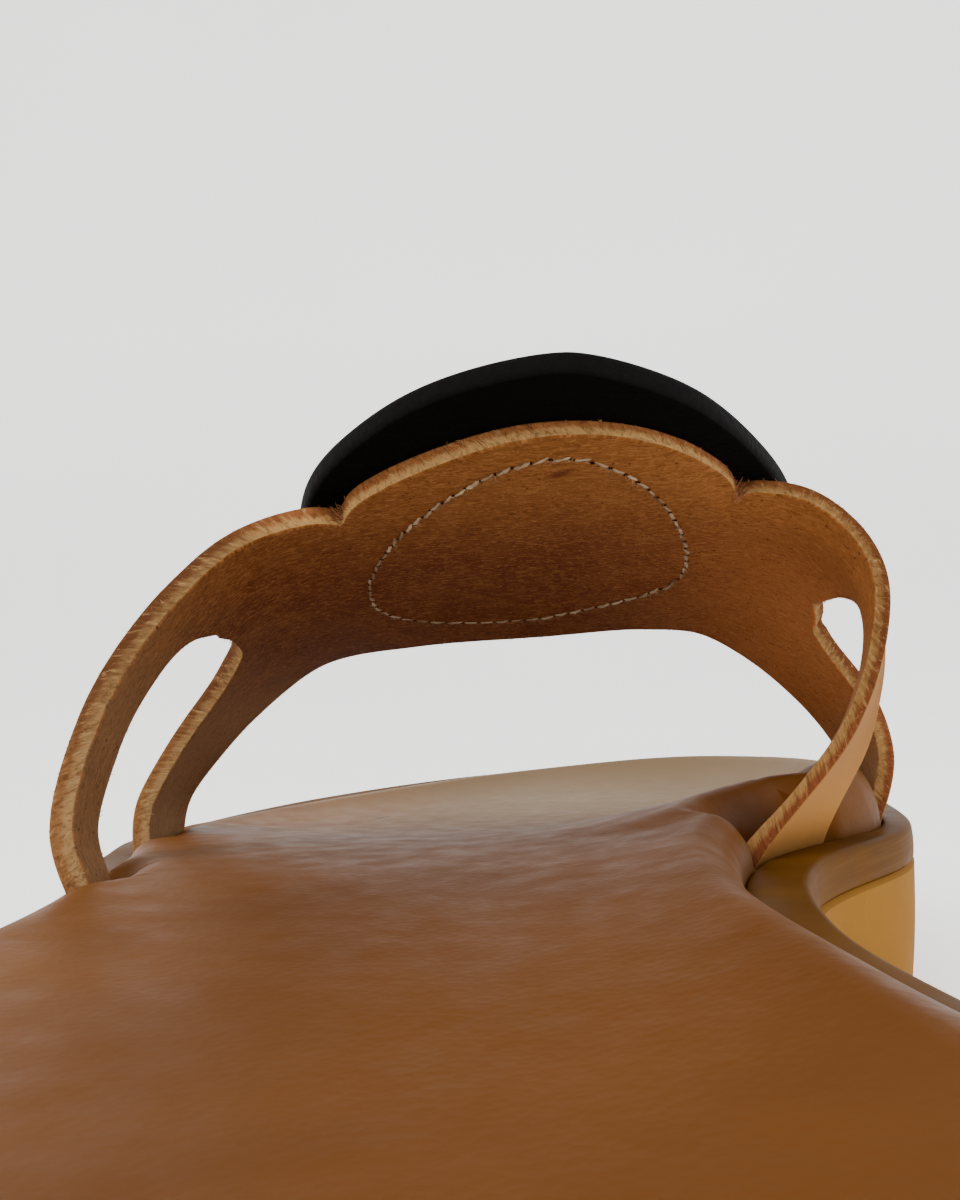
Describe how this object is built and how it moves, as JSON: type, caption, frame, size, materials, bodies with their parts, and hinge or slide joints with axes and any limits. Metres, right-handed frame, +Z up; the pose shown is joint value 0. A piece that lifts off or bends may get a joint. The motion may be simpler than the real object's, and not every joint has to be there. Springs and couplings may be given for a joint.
{
  "type": "leather slide slipper",
  "caption": "Open slide slipper: two-layer sole, cupped leather footbed and a thick leather strap with cut-out sides and an oval black leather ornament.",
  "frame": {"origin": "centre of the footprint's bounding box, on the floor plane the sole stands on", "axes": "+Y points to the toe, +X to the arch side, +Z up"},
  "size_m": [0.1184, 0.2848, 0.0718],
  "materials": {
    "lower_sole": "matte, fine cellular grain",
    "sole_rim": "satin to gloss, smooth",
    "footbed_leather": "smooth, satin sheen",
    "strap_leather": "matte grain outside, brushed flesh side inside",
    "ornament_leather": "matte black"
  },
  "bodies": {
    "root": {"outsole": "lower_sole", "midsole": "sole_rim", "footbed": "footbed_leather", "upper_strap": "strap_leather", "ornament_disc": "ornament_leather"}
  },
  "joints": []
}
